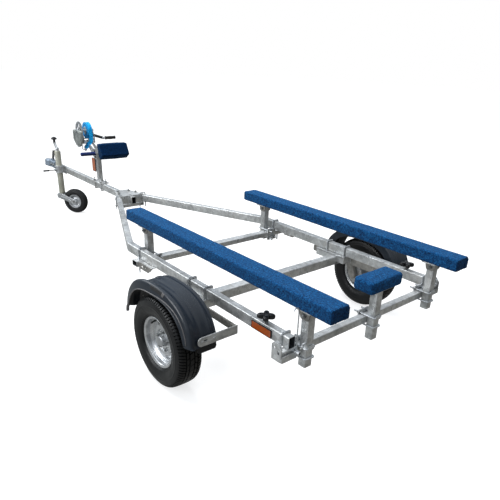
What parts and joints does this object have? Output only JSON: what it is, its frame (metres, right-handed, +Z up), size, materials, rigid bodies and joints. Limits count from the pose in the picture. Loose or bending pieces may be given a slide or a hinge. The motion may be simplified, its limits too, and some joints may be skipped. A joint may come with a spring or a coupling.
{
  "type": "boat trailer",
  "caption": "Single-axle boat trailer: galvanised box-section frame, carpeted bunks on posts, keel pad, winch stand with bow snubber, mudguards and jockey wheel.",
  "frame": {"origin": "on the floor under the middle of the overall box: half way from the bunks' rear ends to the coupling's nose, on the centre line", "axes": "+X forward to the coupling, +Y to the left side, +Z up"},
  "size_m": [4.87, 1.772, 1.008],
  "materials": {
    "galvanised": "hot-dip galvanised, weathered",
    "forged_steel": "zinc sprayed",
    "wheel_silver": "silver paint",
    "tyre_rubber": "matt",
    "black_plastic": "moulded",
    "blue_carpet": "mottled blue marine carpet",
    "navy_pad": "navy cover",
    "amber_lens": "amber lens",
    "zinc_steel": "zinc plated",
    "strap_webbing": "bright blue webbing"
  },
  "bodies": {
    "chassis": {"axle_beam": "galvanised", "axle_seats": "galvanised", "bow_snubber": "navy_pad", "bunk_brackets": "galvanised", "bunk_left": "blue_carpet", "bunk_right": "blue_carpet", "coupling_head": "zinc_steel", "coupling_lever": "zinc_steel", "drawbar": "galvanised", "front_bunk_posts": "galvanised", "front_cross_member": "galvanised", "guard_carriers": "galvanised", "guard_stays": "galvanised", "jockey_clamp": "zinc_steel", "jockey_clamp_handle": "zinc_steel", "joint_cross_channel": "galvanised", "joint_plates": "galvanised", "keel_pad": "blue_carpet", "keel_post": "galvanised", "mudguard_left": "black_plastic", "mudguard_right": "black_plastic", "post_cross_bars": "navy_pad", "post_reflectors": "amber_lens", "rail_knobs": "black_plastic", "rear_bunk_posts": "galvanised", "rear_cross_member": "galvanised", "side_rail_left": "galvanised", "side_rail_right": "galvanised", "side_reflectors": "amber_lens", "snubber_arm": "galvanised", "torsion_arm_left": "forged_steel", "torsion_arm_right": "forged_steel", "winch_bracket": "galvanised", "winch_cover": "zinc_steel", "winch_frame": "zinc_steel", "winch_post": "galvanised"},
    "wheel_left": {"wheel_hub_left": "forged_steel", "wheel_rim_left": "wheel_silver", "wheel_tyre_left": "tyre_rubber"},
    "wheel_right": {"wheel_hub_right": "forged_steel", "wheel_rim_right": "wheel_silver", "wheel_tyre_right": "tyre_rubber"},
    "winch_spool": {"winch_drum": "zinc_steel", "winch_strap_coil": "strap_webbing", "winch_gear": "zinc_steel"},
    "winch_handle": {"winch_crank": "zinc_steel", "winch_grip": "black_plastic"},
    "jockey_tube": {"jockey_outer_tube": "zinc_steel", "jockey_crank": "zinc_steel", "jockey_knob": "black_plastic"},
    "jockey_leg": {"jockey_inner_tube": "zinc_steel"},
    "jockey_swivel": {"jockey_fork": "zinc_steel"},
    "jockey_wheel": {"jockey_rim": "zinc_steel", "jockey_tyre": "tyre_rubber"}
  },
  "joints": [
    {"name": "wheel_left_spin", "type": "hinge", "parent": "chassis", "child": "wheel_left", "pos_m": [-1.585, 0.815, 0.245], "axis": [0, 1, 0], "continuous": true},
    {"name": "wheel_right_spin", "type": "hinge", "parent": "chassis", "child": "wheel_right", "pos_m": [-1.585, -0.815, 0.245], "axis": [0, 1, 0], "continuous": true},
    {"name": "winch_spool_spin", "type": "hinge", "parent": "chassis", "child": "winch_spool", "pos_m": [1.185, 0, 0.932], "axis": [0, 1, 0], "continuous": true},
    {"name": "winch_handle_spin", "type": "hinge", "parent": "chassis", "child": "winch_handle", "pos_m": [1.265, 0, 0.874], "axis": [0, 1, 0], "continuous": true},
    {"name": "jockey_clamp_slide", "type": "slide", "parent": "chassis", "child": "jockey_tube", "axis": [0, 0, 1], "range_m": [-0.14, 0.15]},
    {"name": "jockey_screw_slide", "type": "slide", "parent": "jockey_tube", "child": "jockey_leg", "axis": [0, 0, 1], "range_m": [-0.18, 0]},
    {"name": "jockey_swivel_turn", "type": "hinge", "parent": "jockey_leg", "child": "jockey_swivel", "pos_m": [1.84, 0.075, 0.22], "axis": [0, 0, 1], "continuous": true},
    {"name": "jockey_wheel_spin", "type": "hinge", "parent": "jockey_swivel", "child": "jockey_wheel", "pos_m": [1.72509, -0.02142, 0.13], "axis": [0.6428, -0.766, 0], "continuous": true}
  ],
  "couplings": [
    {"joint": "winch_handle_spin", "follows": "winch_spool_spin", "ratio": -4}
  ]
}
